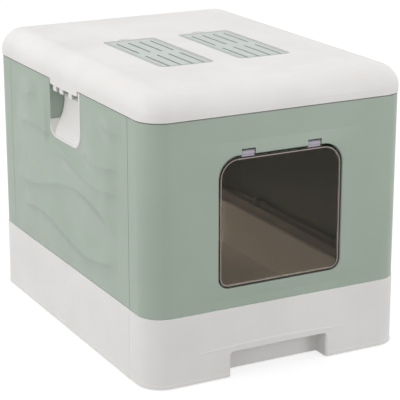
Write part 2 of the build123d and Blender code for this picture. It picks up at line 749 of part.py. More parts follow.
def vent_pocket_cut():
    """Space inside the pocket, its slits, hinge holes and thumb scoop."""
    space = vent_outline(0, POCKET_FLOOR + POCKET_SHEET, HEIGHT + WELD)
    shelf_top = COVER_FOOT - SHELF_GAP
    shelf = vent_outline(-WELD, shelf_top - SHELF_DEEP, shelf_top)
    shelf -= vent_outline(SHELF_WIDTH, 0, HEIGHT)
    space -= shelf & block(-FAR, FAR, VENT_FRONT + SHELF_START, FAR, 0, FAR)
    space += slits(POCKET_FLOOR - WELD, POCKET_FLOOR + POCKET_SHEET + WELD)
    wall_end = VENT_WIDTH / 2 + VENT_WALL
    space += rod_along_x(
        VENT_FRONT + COVER_HINGE, COVER_TOP - COVER_SHEET / 2,
        COVER_PIN_R + COVER_PIN_FIT, VENT_X - wall_end, VENT_X + wall_end
    )
    return space + thumb_ball(THUMB_R)


def lid_shell():
    """Dished lid with two filter pockets and a tab over each finger recess."""
    outer = HALF_W - LID_INSET
    shell = lid_dome(LID_INSET, LID_FOOT, HEIGHT, SHOULDER_R)
    shell -= lid_dome(
        LID_INSET + LID_WALL, LID_FOOT - WELD, HEIGHT - LID_WALL, SHOULDER_R - LID_WALL
    )
    tab = block(
        outer - LID_WALL, outer, RECESS_FRONT + TAB_GAP, RECESS_BACK - TAB_GAP,
        LID_FOOT - TAB_DROP, LID_FOOT + WELD
    )
    shell += both(fillet(tab.edges().filter_by(Axis.X).group_by(Axis.Z)[0], TAB_R))
    shell += both(vent_pocket_body())
    return shell - both(vent_pocket_cut())


def right_lid_clip():
    """Clip inside the lid tab whose fingers ride on the keeper bar."""
    outer = HALF_W - LID_INSET - LID_WALL
    foot = LID_FOOT - TAB_DROP + WELD / 2
    end = TAB_GAP + CLIP_SIDE
    clip = block(
        outer - CLIP_WALL, outer, RECESS_FRONT + end, RECESS_BACK - end,
        foot, LID_FOOT + CLIP_RISE
    )
    bore = BAR_R + CLIP_GAP
    around = bore + CLIP_WALL
    low = BAR_Z - around * math.sin(math.radians(CLIP_REACH))
    for place in CLIP_PLACES:
        near = RECESS_SHIFT + place - CLIP_FINGER / 2
        far = near + CLIP_FINGER
        finger = rod_along_y(BAR_X, BAR_Z, around, near, far)
        finger &= block(BAR_X - WELD, FAR, near, far, low, FAR)
        finger += block(
            BAR_X + bore - WELD / 2, outer, near, far, BAR_Z, foot + WELD
        )
        clip += finger - rod_along_y(BAR_X, BAR_Z, bore, near - WELD, far + WELD)
    return clip


def right_vent_cover():
    """Slotted cover, hinged near its front edge."""
    cover = vent_outline(COVER_GAP, COVER_FOOT, COVER_TOP)
    cover -= slits(COVER_FOOT - WELD, COVER_TOP + WELD, SLIT_EASE)
    edge = VENT_WIDTH / 2 - COVER_GAP
    for side in (-1, 1):
        cover += rod_along_x(
            VENT_FRONT + COVER_HINGE, COVER_TOP - COVER_SHEET / 2, COVER_PIN_R,
            VENT_X + side * (edge - COVER_PIN_IN), VENT_X + side * (edge + COVER_PIN_OUT)
        )
    return cover


def right_filter_pad():
    """Soft carbon pad in the pocket."""
    half = VENT_WIDTH / 2 - PAD_SIDE_GAP
    foot = POCKET_FLOOR + POCKET_SHEET + PAD_LIFT
    pad = block(
        VENT_X - half, VENT_X + half,
        VENT_FRONT + PAD_FRONT_GAP, VENT_BACK - PAD_SIDE_GAP, foot, foot + PAD_HEIGHT
    )
    return fillet(pad.edges().filter_by(Axis.Z), PAD_R)


def save(name, shape):
    """Write one sub-part as its own STEP file."""
    shape.label = name
    export_step(shape, "parts/" + name + ".step")


os.makedirs("parts", exist_ok=True)
save("base_frame", base_frame())
save("front_panel", front_panel())
save("rear_panel", rear_panel())
save("front_wall_pins", wall_pins(-PIN_Y))
save("rear_wall_pins", wall_pins(PIN_Y))
save("drawer_front", drawer_front())
save("drawer_tray", drawer_tray())
save("door_flap", flap())
save("lid_shell", lid_shell())
for side, place in (("right", lambda shape: shape), ("left", left_of)):
    save(side + "_fold_rod", place(right_fold_rod()))
    save(side + "_side_panel", place(right_side_panel()))
    save(side + "_keeper_bar", place(right_keeper_bar()))
    save(side + "_recess_liner", place(right_recess_liner()))
    save(side + "_lid_clip", place(right_lid_clip()))
    save(side + "_vent_cover", place(right_vent_cover()))
    save(side + "_filter_pad", place(right_filter_pad()))
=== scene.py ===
import math

import bmesh
import bpy
import numpy as np
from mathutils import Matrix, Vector


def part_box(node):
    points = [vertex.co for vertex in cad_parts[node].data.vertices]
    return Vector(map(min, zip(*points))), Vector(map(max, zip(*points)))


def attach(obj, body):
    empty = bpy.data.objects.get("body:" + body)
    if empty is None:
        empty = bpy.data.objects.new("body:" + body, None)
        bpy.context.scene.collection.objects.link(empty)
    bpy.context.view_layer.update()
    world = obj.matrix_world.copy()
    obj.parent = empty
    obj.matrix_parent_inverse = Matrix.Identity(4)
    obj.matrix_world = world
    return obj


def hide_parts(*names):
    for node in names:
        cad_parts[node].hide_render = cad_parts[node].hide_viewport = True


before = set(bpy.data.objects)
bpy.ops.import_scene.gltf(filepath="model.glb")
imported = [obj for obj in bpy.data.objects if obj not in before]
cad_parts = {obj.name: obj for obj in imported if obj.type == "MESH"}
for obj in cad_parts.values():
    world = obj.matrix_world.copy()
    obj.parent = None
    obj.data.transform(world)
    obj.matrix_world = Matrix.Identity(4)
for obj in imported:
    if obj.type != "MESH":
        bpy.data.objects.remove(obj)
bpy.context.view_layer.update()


# ---------------------------------------------------------------------------
# Studio.  A seamless white table in an evenly lit white room, with soft
# lamps overhead, on the left and at the right front, and a long lens looking
# down on the left front corner of the box.
# ---------------------------------------------------------------------------
def linear(code):
    """The linear colour of an sRGB hex code."""
    parts = [int(code[i:i + 2], 16) / 255 for i in (0, 2, 4)]
    return [p / 12.92 if p <= 0.04045 else ((p + 0.055) / 1.055) ** 2.4 for p in parts] + [1.0]


def add(tree, kind, links=(), **settings):
    """Adds a node: settings are its properties, links its inputs, as numbers, colours or sockets."""
    node = tree.nodes.new(kind)
    for name, value in settings.items():
        setattr(node, name, value)
    for name, value in dict(links).items():
        if isinstance(value, bpy.types.NodeSocket):
            tree.links.new(value, node.inputs[name])
        else:
            node.inputs[name].default_value = value
    return node


def new_material(name):
    """An empty node material and its output node."""
    material = bpy.data.materials.new(name)
    material.use_nodes = True
    material.node_tree.nodes.clear()
    return material.node_tree, add(material.node_tree, "ShaderNodeOutputMaterial"), material


def new_piece(name, points, faces, material):
    """A mesh object from arrays of points and faces, smooth shaded."""
    mesh = bpy.data.meshes.new(name)
    mesh.from_pydata(points.tolist(), [], faces.tolist())
    mesh.polygons.foreach_set("use_smooth", np.ones(len(faces), bool))
    mesh.materials.append(material)
    piece = bpy.data.objects.new(name, mesh)
    bpy.context.scene.collection.objects.link(piece)
    return piece


def looked_at(tree):
    """A Light Path node, and 1 for rays that look at a surface.

    Those come from the camera, a mirror or something clear, and haven't
    bounced off a matt surface yet.
    """
    rays = add(tree, "ShaderNodeLightPath")
    seen = rays.outputs["Is Camera Ray"]
    for kind in ("Is Glossy Ray", "Is Transmission Ray"):
        seen = add(tree, "ShaderNodeMath", {0: seen, 1: rays.outputs[kind]}, operation="MAXIMUM").outputs[0]
    first = add(tree, "ShaderNodeMath", {0: rays.outputs["Diffuse Depth"], 1: 0.5}, operation="LESS_THAN")
    return rays, add(tree, "ShaderNodeMath", {0: seen, 1: first.outputs[0]}, operation="MULTIPLY")


# White card: matt, lit by the lamps, and lifted to full white where nothing
# shades it, so that only the box's own shadow is left.
tree, out, card = new_material("matt_white_card")
rays, seen = looked_at(tree)
lift = add(tree, "ShaderNodeMath", {0: seen.outputs[0], 1: 0.72}, operation="MULTIPLY")
matt = add(tree, "ShaderNodeBsdfDiffuse", {"Color": linear("A8A8A8")})
glow = add(tree, "ShaderNodeEmission", {"Color": linear("FFFFFF"), "Strength": lift.outputs[0]})
both = add(tree, "ShaderNodeAddShader", {0: matt.outputs[0], 1: glow.outputs[0]})
tree.links.new(both.outputs[0], out.inputs["Surface"])

TABLE_HALF = 6.0         # m
TABLE_Z = -0.0004        # just under the feet of the box
corners = TABLE_HALF * np.array([[-1, -1, 0], [1, -1, 0], [1, 1, 0], [-1, 1, 0]]) + [0, 0, TABLE_Z]
table = new_piece("table", corners, np.array([[0, 1, 2, 3]]), card)

# The room: plain pale light all round, and white where it is looked at,
# mirrored or seen through something clear.  Its ceiling mirrors darker.
world = bpy.data.worlds.new("white_room")
bpy.context.scene.world = world
world.use_nodes = True
tree = world.node_tree
tree.nodes.clear()
rays, seen = looked_at(tree)
level = add(tree, "ShaderNodeMapRange", {"Value": seen.outputs[0], "To Min": 0.76, "To Max": 1.0})
way = add(tree, "ShaderNodeTexCoord").outputs["Generated"]
height = add(tree, "ShaderNodeSeparateXYZ", {"Vector": way}).outputs["Z"]
ceiling = add(
    tree, "ShaderNodeMapRange",
    {"Value": height, "From Min": 0.5, "From Max": 0.9, "To Min": 0.0, "To Max": 0.75}
)
dark = add(tree, "ShaderNodeMath", {0: ceiling.outputs[0], 1: rays.outputs["Is Glossy Ray"]}, operation="MULTIPLY")
level = add(tree, "ShaderNodeMath", {0: level.outputs[0], 1: dark.outputs[0]}, operation="SUBTRACT")
sky = add(tree, "ShaderNodeBackground", {"Color": linear("FFFFFF"), "Strength": level.outputs[0]})
out = add(tree, "ShaderNodeOutputWorld", {"Surface": sky.outputs[0]})


def soft_lamp(name, place, aim, width, power):
    """A square soft lamp at place, turned to aim."""
    lamp = bpy.data.lights.new(name, "AREA")
    lamp.size = width
    lamp.energy = power
    holder = bpy.data.objects.new(name, lamp)
    holder.location = place
    holder.rotation_euler = (Vector(aim) - Vector(place)).to_track_quat("-Z", "Y").to_euler()
    bpy.context.scene.collection.objects.link(holder)
    return holder


soft_lamp("overhead_lamp", (0, 0, 2.5), (0, 0, 0.3), 1.5, 9.5)
soft_lamp("left_lamp", (-2.2, 0.2, 0.6), (0, 0, 0.2), 1.0, 10.5)
soft_lamp("left_front_lamp", (-1.9, -1.2, 0.35), (0, 0, 0.2), 0.8, 2.6)
soft_lamp("right_front_lamp", (1.3, -2.0, 0.5), (0, 0, 0.2), 0.9, 8.0)

lens = bpy.data.cameras.new("long_lens")
lens.lens = 143.36
lens.sensor_width = 36.0
camera = bpy.data.objects.new("camera", lens)
camera.location = (-0.9892, -1.9002, 0.8157)
camera.rotation_euler = Vector((0.4469, 0.8453, -0.2927)).to_track_quat("-Z", "Y").to_euler()
bpy.context.scene.collection.objects.link(camera)
bpy.context.scene.camera = camera
bpy.context.scene.view_settings.view_transform = "Standard"


# ---------------------------------------------------------------------------
# Base.  A white tub-shaped frame with a flat plate and a ledge, injection
# moulded in one piece from polypropylene.  The mould is finely spark eroded,
# which leaves a satin grain.
# ---------------------------------------------------------------------------
def moulded_polypropylene(name, code, pale_code, gloss, depth, index=1.49):
    """Injection moulded polypropylene.

    code and pale_code are its two tones, gloss its lowest roughness, depth
    the depth of the grain in m, and index its refractive index.  The index
    also sets how strong the sheen is, so it isn't always that of the plastic.

    Two close tones drift over about 90 mm, as the melt cooled unevenly, and
    a pitted grain breaks the highlight.  The real grain is about 0.15 mm
    wide.  It is drawn 0.9 mm wide, because finer would not show.
    """
    tree, out, material = new_material(name)
    place = add(tree, "ShaderNodeTexCoord").outputs["Object"]
    drift = add(tree, "ShaderNodeTexNoise", {"Vector": place, "Scale": 1 / 0.090, "Detail": 3.0})
    tone = add(tree, "ShaderNodeMapRange", {"Value": drift.outputs["Fac"], "From Min": 0.35, "From Max": 0.65})
    colour = add(
        tree, "ShaderNodeMix",
        {"Factor": tone.outputs[0], 6: linear(code), 7: linear(pale_code)}, data_type="RGBA"
    )
    haze = add(tree, "ShaderNodeTexNoise", {"Vector": place, "Scale": 1 / 0.025, "Detail": 4.0})
    rough = add(
        tree, "ShaderNodeMapRange",
        {"Value": haze.outputs["Fac"], "From Min": 0.3, "From Max": 0.7, "To Min": gloss, "To Max": gloss + 0.09}
    )
    grain = add(tree, "ShaderNodeTexNoise", {"Vector": place, "Scale": 1 / 0.0009, "Detail": 2.0})
    sink = add(tree, "ShaderNodeTexNoise", {"Vector": place, "Scale": 1 / 0.060, "Detail": 1.0})
    slow = add(tree, "ShaderNodeBump", {"Height": sink.outputs["Fac"], "Distance": 0.0005, "Strength": 0.25})
    pits = add(
        tree, "ShaderNodeBump",
        {"Height": grain.outputs["Fac"], "Distance": depth, "Strength": 0.5, "Normal": slow.outputs[0]}
    )
    plastic = add(
        tree, "ShaderNodeBsdfPrincipled",
        {"Base Color": colour.outputs[2], "Roughness": rough.outputs[0], "Normal": pits.outputs[0], "IOR": index}
    )
    tree.links.new(plastic.outputs[0], out.inputs["Surface"])
    return material


def finish(material, *nodes):
    """Gives CAD nodes their material."""
    for name in nodes:
        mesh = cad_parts[name].data
        mesh.materials.clear()
        mesh.materials.append(material)


# Spark eroded white polypropylene looks soft and even, with a faint warm cast.
white_plastic = moulded_polypropylene("moulded_white_polypropylene", "E9E6E4", "EEECEA", 0.42, 0.00006)
finish(white_plastic, "base_frame")


# ---------------------------------------------------------------------------
# Drawer.  A white front that wraps both corners, with a finger notch and a
# low brow over it, and a deep tray behind it, both in the base's plastic.
# ---------------------------------------------------------------------------
finish(white_plastic, "drawer_front", "drawer_tray")

# A small lamp beside the camera lights the tray alone and is shaded by the
# tray alone, so that its white shows through the smoke flap against the dark
# inside of the box.  No real lamp does this.
tray_lamp = soft_lamp("tray_lamp", (-0.9, -2.0, 0.9), (0.1, 0.1, 0.03), 0.3, 11.5)
tray_only = bpy.data.collections.new("tray_only")
tray_only.objects.link(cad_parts["drawer_tray"])
tray_lamp.light_linking.receiver_collection = tray_only
tray_lamp.light_linking.blocker_collection = tray_only


# ---------------------------------------------------------------------------
# Hinge rods and pins.  Straight acetal rods pushed through the lugs on the
# base; the side walls fold on the long ones.
# ---------------------------------------------------------------------------
tree, out, acetal = new_material("drawn_acetal_rod")
place = add(tree, "ShaderNodeTexCoord").outputs["Object"]
# Fine drawing lines run round the rod, about 0.4 mm apart.
lines = add(tree, "ShaderNodeTexWave", {"Vector": place, "Scale": 1 / 0.0008, "Distortion": 1.5}, bands_direction="Y")
ridge = add(tree, "ShaderNodeBump", {"Height": lines.outputs["Fac"], "Distance": 0.00002, "Strength": 0.4})
rod = add(
    tree, "ShaderNodeBsdfPrincipled",
    {"Base Color": linear("DEDDD6"), "Roughness": 0.28, "IOR": 1.48, "Normal": ridge.outputs[0]}
)
tree.links.new(rod.outputs[0], out.inputs["Surface"])
finish(acetal, "left_fold_rod", "right_fold_rod", "front_wall_pins", "rear_wall_pins")


# ---------------------------------------------------------------------------
# Front and rear walls.  Thin sage green polypropylene mouldings that wrap
# the corners.  The front one has the doorway with a soft swage round it,
# which stiffens the thin wall.
# ---------------------------------------------------------------------------
# Sage green polypropylene, a little shinier than the white.
sage_plastic = moulded_polypropylene("moulded_sage_polypropylene", "9FAD9F", "A3B1A3", 0.34, 0.00005, 1.60)
finish(sage_plastic, "front_panel", "rear_panel")


# ---------------------------------------------------------------------------
# Side walls.  Flat sage green mouldings with shallow pressed waves and a
# scooped finger recess.  Each folds in on its rod.
# ---------------------------------------------------------------------------
finish(sage_plastic, "left_side_panel", "right_side_panel", "left_keeper_bar", "right_keeper_bar")

# Sizes in mm, as in the wall itself.
WALL_FACE = 187.5        # outer face
WALL_END = 192.6         # upright edges
WALL_FOOT = 96.2
WALL_TOP = 343.6
SKIN_LIFT = 0.05         # from the wall to the skin over it
FIELD_END = 186.0        # the waves stop short of the upright edges
WAVE_PROUD = 1.3         # how far the skin can stand out inside the foot lip
WAVE_DEPTH = 6.0         # how deep the wall in the photo looks pressed
RECESS_Y = (-50.5, 52.5)
RECESS_Z = 266.5
ROUNDING = 1.2           # how sharp a crest is
FALL_ABOVE = 22.0
FALL_BELOW = 10.0
CREST_FADE = 48.0        # at the ends of a crest
SIDE_FADE = 15.0
LEVEL_FADE = 14.0        # at the foot and top of the wall
RECESS_FADE = 20.0
LEVEL_MARGIN = 4.0       # left flat before a fade starts
RECESS_MARGIN = 1.0
# A crest: z of its middle line, swing, y of its highest point, half its wave
# length, and where it starts and ends along the wall.
CRESTS = (
    (299.0, 17.0, 92.0, 125.0, 88.0, 170.0),
    (250.0, 20.0, 108.0, 208.0, -168.0, 178.0),
    (269.0, 8.0, -215.0, 118.0, -174.0, -52.0),
    (321.0, 6.0, -235.0, 85.0, -184.0, -98.0),
    (195.0, 16.0, -30.0, 185.0, -166.0, 176.0),
    (138.0, 11.5, 92.0, 154.0, -164.0, 164.0),
)


def smooth_step(x):
    """0 below 0, 1 above 1, with a smooth cubic rise between."""
    x = np.clip(x, 0, 1)
    return x * x * (3 - 2 * x)


def wave_relief(y, z):
    """Height of the pressed waves, from 0 to about 1.

    Each crest is a ridge like one in blown sand.  With d the height above
    its line and r = sqrt(d^2 + ROUNDING^2) - ROUNDING, it adds exp(-r /
    FALL_ABOVE) above the line and exp(-r / FALL_BELOW) below it.  A crest
    dies away at its ends, and everything does towards the edges of the
    field and round the recess.
    """
    total = np.zeros_like(y)
    for level, swing, top, half, start, end in CRESTS:
        above = z - level - swing * np.cos(np.pi * (y - top) / half)
        ridge = np.sqrt(above ** 2 + ROUNDING ** 2) - ROUNDING
        ridge = np.exp(-ridge / np.where(above > 0, FALL_ABOVE, FALL_BELOW))
        total += ridge * smooth_step((y - start) / CREST_FADE) * smooth_step((end - y) / CREST_FADE)
    edge = smooth_step((FIELD_END - np.abs(y)) / SIDE_FADE)
    edge = edge * smooth_step((z - WALL_FOOT - LEVEL_MARGIN) / LEVEL_FADE)
    edge = edge * smooth_step((WALL_TOP - LEVEL_MARGIN - z) / LEVEL_FADE)
    far = np.maximum(np.maximum(RECESS_Y[0] - y, y - RECESS_Y[1]), RECESS_Z - z)
    return total * edge * smooth_step((far - RECESS_MARGIN) / RECESS_FADE)


def wave_skin(name, side):
    """Outer face of a side wall, as a grid of about 1.5 mm.

    x = side * (face + lift + proud * relief(y, z)); the cells over the
    finger recess are left out, where the wall itself shows.  The foot lip
    leaves room for less depth than the waves seem to have, so the shading
    normals are those of a deeper wave than the mesh has:
    (side, -depth * dr/dy, -depth * dr/dz).
    """
    y = np.unique(np.concatenate([
        np.linspace(-WALL_END, RECESS_Y[0], 96), np.linspace(*RECESS_Y, 70),
        np.linspace(RECESS_Y[1], WALL_END, 95)
    ]))
    z = np.unique(np.concatenate([
        np.linspace(WALL_FOOT, RECESS_Z, 114), np.linspace(RECESS_Z, WALL_TOP, 52)
    ]))
    yy, zz = np.meshgrid(y, z, indexing="ij")
    relief = wave_relief(yy, zz)
    xx = side * (WALL_FACE + SKIN_LIFT + WAVE_PROUD * relief / relief.max())
    points = np.stack([xx, yy, zz], -1).reshape(-1, 3) / 1000
    index = np.arange(yy.size).reshape(yy.shape)
    quads = np.stack([index[:-1, :-1], index[1:, :-1], index[1:, 1:], index[:-1, 1:]], -1)
    mid_y = (y[:-1] + y[1:])[:, None] / 2
    mid_z = (z[:-1] + z[1:])[None, :] / 2
    recess = (mid_y > RECESS_Y[0]) & (mid_y < RECESS_Y[1]) & (mid_z > RECESS_Z)
    faces = quads[~recess]
    if side < 0:
        faces = faces[:, ::-1]
    skin = new_piece(name, points, faces, sage_plastic)
    along, up = np.gradient(relief, y, z)
    normals = np.stack([np.full_like(relief, side), -WAVE_DEPTH * along, -WAVE_DEPTH * up], -1)
    normals = normals.reshape(-1, 3)
    normals /= np.linalg.norm(normals, axis=1, keepdims=True)
    skin.data.normals_split_custom_set_from_vertices(normals.tolist())
    return skin


for side, name in ((-1, "left"), (1, "right")):
    skin = wave_skin(name + "_wave_skin", side)
    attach(skin, name + "_wall")

# A white liner is pressed into each recess, over its floor and front side.
finish(white_plastic, "left_recess_liner", "right_recess_liner")


# ---------------------------------------------------------------------------
# Door flap.  A clear smoke-brown acrylic sheet with a rounded bead round its
# edge and two hooks over the hinge bar.  Moulded with polished faces.
# ---------------------------------------------------------------------------
tree, out, smoke = new_material("polished_smoke_acrylic")
place = add(tree, "ShaderNodeTexCoord").outputs["Object"]
scuff = add(tree, "ShaderNodeTexNoise", {"Vector": place, "Scale": 1 / 0.018, "Detail": 5.0})
rough = add(
    tree, "ShaderNodeMapRange",
    {"Value": scuff.outputs["Fac"], "From Min": 0.4, "From Max": 0.75, "To Min": 0.03, "To Max": 0.10}
)
acrylic = add(
    tree, "ShaderNodeBsdfPrincipled",
    {
        "Base Color": linear("E8D6BC"), "Roughness": rough.outputs[0], "IOR": 1.49,
        "Specular Tint": linear("888888"), "Transmission Weight": 1.0
    }
)
# To shadow rays the sheet is a brown veil, not a black wall.  To rays that
# have already bounced off something matt it is a dark matt surface instead:
# painted shade, which keeps the inside of the box dark.
rays = add(tree, "ShaderNodeLightPath")
veil = add(tree, "ShaderNodeBsdfTransparent", {"Color": linear("7A6652")})
painted_inner_shade = add(tree, "ShaderNodeBsdfDiffuse", {"Color": linear("2A2420")})
inner = add(tree, "ShaderNodeMath", {0: rays.outputs["Diffuse Depth"], 1: 0.5}, operation="GREATER_THAN")
with_painted_shade = add(tree, "ShaderNodeMixShader", {0: inner.outputs[0], 1: acrylic.outputs[0], 2: painted_inner_shade.outputs[0]})
# The hooks are drawn as a rough, pale lavender grey plastic: painted
# reflection, for the pale look the thick clear hooks get from what they mirror.
HOOK_FOOT = 0.2905       # m
up = add(tree, "ShaderNodeSeparateXYZ", {"Vector": place}).outputs["Z"]
hook = add(tree, "ShaderNodeMath", {0: up, 1: HOOK_FOOT}, operation="GREATER_THAN")
painted_hook_sheen = add(tree, "ShaderNodeBsdfPrincipled", {"Base Color": linear("B5AEBC"), "Roughness": 0.45, "IOR": 1.49})
with_painted_shade = add(tree, "ShaderNodeMixShader", {0: hook.outputs[0], 1: with_painted_shade.outputs[0], 2: painted_hook_sheen.outputs[0]})
clear = add(tree, "ShaderNodeMixShader", {0: rays.outputs["Is Shadow Ray"], 1: with_painted_shade.outputs[0], 2: veil.outputs[0]})
tree.links.new(clear.outputs[0], out.inputs["Surface"])
finish(smoke, "door_flap")

# The bead is rolled up a little more than the sheet's edge and left plain.
# It is drawn opaque, in a pale brown that drifts: painted light, for the light
# that the clear rounded bead bends and mirrors out, so it looks paler.
tree, out, bead_painted_light = new_material("smoke_bead_painted_light")
place = add(tree, "ShaderNodeTexCoord").outputs["Object"]
flow = add(tree, "ShaderNodeTexNoise", {"Vector": place, "Scale": 1 / 0.035, "Detail": 2.0})
tone = add(
    tree, "ShaderNodeMix",
    {"Factor": flow.outputs["Fac"], 6: linear("6A5E54"), 7: linear("A89C90")}, data_type="RGBA"
)
glassy = add(
    tree, "ShaderNodeBsdfPrincipled",
    {"Base Color": tone.outputs[2], "Roughness": 0.10, "IOR": 1.49, "Coat Weight": 0.6, "Coat Roughness": 0.05}
)
tree.links.new(glassy.outputs[0], out.inputs["Surface"])

FLAP_HALF = 88.0         # mm, as in the flap itself
FLAP_FOOT = 123.0
FLAP_TOP = 290.0
FLAP_R_TOP = 26.0
FLAP_R_FOOT = 13.0
BEAD_IN = 1.6            # from the outline to the middle of the bead
BEAD_FACE = 248.1        # front of the flap's own bead
ROLL_WIDTH = 1.8
ROLL_PROUD = 0.6
ROLL_START = -20         # degrees, so that its edges dip into the flap's bead
ROLL_END = 200


def flap_outline(inset, step=1.5):
    """Points round the flap at a steady inset, with their outward directions."""
    rows = []
    for cx, cz, radius, start in (
        (FLAP_HALF, FLAP_FOOT, FLAP_R_FOOT, -90), (FLAP_HALF, FLAP_TOP, FLAP_R_TOP, 0),
        (-FLAP_HALF, FLAP_TOP, FLAP_R_TOP, 90), (-FLAP_HALF, FLAP_FOOT, FLAP_R_FOOT, 180)
    ):
        turn = np.radians(np.linspace(start, start + 90, 15))
        out_x, out_z = np.cos(turn), np.sin(turn)
        mid_x = cx - np.sign(cx) * radius
        mid_z = cz + (radius if cz == FLAP_FOOT else -radius)
        on_x = mid_x + (radius - inset) * out_x
        on_z = mid_z + (radius - inset) * out_z
        rows.append(np.stack([on_x, on_z, out_x, out_z], -1))
    corners = np.concatenate(rows)
    runs = []
    for here, after in zip(corners, np.roll(corners, -1, axis=0)):
        count = max(1, int(np.hypot(*(after - here)[:2]) / step))
        share = np.arange(count)[:, None] / count
        runs.append(here * (1 - share) + after * share)
    return np.concatenate(runs)


# Most of an ellipse carried round the outline: across it by ROLL_WIDTH / 2 *
# cos of the turn, and forward by ROLL_PROUD * sin of it.  A flat back that
# lies inside the flap's bead closes it.
ring = flap_outline(BEAD_IN)
turn = np.radians(np.linspace(ROLL_START, ROLL_END, 13))
across = ROLL_WIDTH / 2 * np.cos(turn)
x = ring[:, :1] + ring[:, 2:3] * across
z = ring[:, 1:2] + ring[:, 3:4] * across
y = np.broadcast_to(-BEAD_FACE - ROLL_PROUD * np.sin(turn), x.shape)
points = np.stack([x, y, z], -1).reshape(-1, 3) / 1000
index = np.arange(x.size).reshape(x.shape)
index = np.concatenate([index, index[:, :1]], axis=1)
after = np.roll(index, -1, axis=0)
quads = np.stack([index[:, :-1], index[:, 1:], after[:, 1:], after[:, :-1]], -1).reshape(-1, 4)
bead = new_piece("flap_bead", points, quads, bead_painted_light)
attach(bead, "flap")


# ---------------------------------------------------------------------------
# Lid.  A white polypropylene shell with a large soft shoulder, two filter
# pockets, and a tab with a clip over each finger recess.
# ---------------------------------------------------------------------------
finish(white_plastic, "lid_shell", "left_lid_clip", "right_lid_clip")

# Sizes in mm.  The shoulder is a little lower than the plain lid's and the
# top is dished, so that the vent covers lie flush with it, with a shallow
# ramp for a finger behind each.
LID_HALF_X = 188.7
LID_HALF_Y = 249.7
LID_CORNER = 33.7
SHOULDER_SINK = 1.0
SHOULDER_Z = (352.0, 385.0)
SHEET_Z = (374.0, 381.0)
DISH_DEEP = 3.5
DISH_START = 22.0        # in from the outline
DISH_WIDTH = 24.0
RAMP_DEEP = 3.0
RAMP_X = (22.0, 28.0, 88.0, 94.0)    # start, full, full end, end
RAMP_Y = (77.0, 99.0)
RAMP_EASE = 0.5          # keeps the pocket's own edge on the ramp


def lid_sink(x, y, z):
    """How far each point of the plain lid is pressed down.

    The shoulder sinks smoothly by SHOULDER_SINK over SHOULDER_Z.  The top
    sheet, above SHEET_Z, sinks by a further DISH_DEEP, rising smoothly with
    the inset from the outline, and by up to RAMP_DEEP on the ramps.
    """
    across = np.abs(x) - (LID_HALF_X - LID_CORNER)
    along = np.abs(y) - (LID_HALF_Y - LID_CORNER)
    inset = LID_CORNER - np.hypot(np.maximum(across, 0), np.maximum(along, 0))
    inset = inset - np.minimum(np.maximum(across, along), 0)
    low, high = SHEET_Z
    sheet = smooth_step((z - low) / (high - low))
    low, high = SHOULDER_Z
    sink = SHOULDER_SINK * smooth_step((z - low) / (high - low))
    sink = sink + DISH_DEEP * sheet * smooth_step((inset - DISH_START) / DISH_WIDTH)
    start, full, full_end, end = RAMP_X
    width = smooth_step((np.abs(x) - start) / (full - start))
    width = width * smooth_step((end - np.abs(x)) / (end - full_end))
    front, back = RAMP_Y
    slope = np.where(y > front - RAMP_EASE, np.clip((back - y) / (back - front), 0, 1), 0)
    return sink + RAMP_DEEP * sheet * width * slope


def creased_normals(mesh, degrees):
    """Normals for the corners of a mesh of triangles.

    Each is the mean, weighted by area, of the faces round its vertex that
    lie within some degrees of the corner's own face.
    """
    corners = np.zeros(len(mesh.loops), int)
    mesh.loops.foreach_get("vertex_index", corners)
    flat = np.zeros(len(mesh.polygons) * 3)
    mesh.polygons.foreach_get("normal", flat)
    area = np.zeros(len(mesh.polygons))
    mesh.polygons.foreach_get("area", area)
    own = np.repeat(flat.reshape(-1, 3), 3, axis=0)
    area = np.repeat(area, 3)
    order = np.argsort(corners, kind="stable")
    first = np.searchsorted(corners[order], corners)
    count = np.bincount(corners)[corners]
    mine = np.repeat(np.arange(len(corners)), count)
    step = np.arange(count.sum()) - np.repeat(np.cumsum(count) - count, count)
    other = order[first[mine] + step]
    near = (own[mine] * own[other]).sum(1) > math.cos(math.radians(degrees))
    mine, other = mine[near], other[near]
    total = np.zeros((len(corners), 3))
    np.add.at(total, mine, own[other] * area[other][:, None])
    length = np.linalg.norm(total, axis=1, keepdims=True)
    return np.where(length > 0, total / np.maximum(length, 1e-30), own)


# A copy of the CAD's lid is cut along lines across its top, so that it has
# vertices to bend at, and pressed down.  The cuts are in mm.
CREASE = 20              # degrees
RAMP_CUTS = (22, 24, 26, 28, 88, 90, 92, 94)
mesh = bmesh.new()
mesh.from_mesh(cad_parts["lid_shell"].data)
bmesh.ops.remove_doubles(mesh, verts=mesh.verts, dist=1e-6)
insets = DISH_START + np.linspace(0, DISH_WIDTH, 9)
cuts = [(0, sign * (LID_HALF_X - inset)) for sign in (-1, 1) for inset in insets]
cuts += [(1, sign * (LID_HALF_Y - inset)) for sign in (-1, 1) for inset in insets]
cuts += [(0, sign * place) for sign in (-1, 1) for place in RAMP_CUTS]
cuts += [(1, place) for place in np.linspace(*RAMP_Y, 5)]
for axis, place in cuts:
    spot, way = [0.0, 0.0, 0.0], [0.0, 0.0, 0.0]
    spot[axis], way[axis] = place / 1000, 1.0
    everything = mesh.verts[:] + mesh.edges[:] + mesh.faces[:]
    bmesh.ops.bisect_plane(mesh, geom=everything, plane_co=spot, plane_no=way, dist=1e-7)
bmesh.ops.dissolve_degenerate(mesh, edges=mesh.edges, dist=2e-6)
bmesh.ops.triangulate(mesh, faces=mesh.faces)
spots = np.array([vert.co[:] for vert in mesh.verts]) * 1000
spots[:, 2] -= lid_sink(*spots.T)
for vert, spot in zip(mesh.verts, spots / 1000):
    vert.co = spot.tolist()
shape = bpy.data.meshes.new("dished_lid")
mesh.to_mesh(shape)
mesh.free()
shape.materials.append(white_plastic)
shape.polygons.foreach_set("use_smooth", np.ones(len(shape.polygons), bool))
shape.normals_split_custom_set(creased_normals(shape, CREASE).tolist())
dished = bpy.data.objects.new("dished_lid", shape)
bpy.context.scene.collection.objects.link(dished)
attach(dished, "lid")
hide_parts("lid_shell")


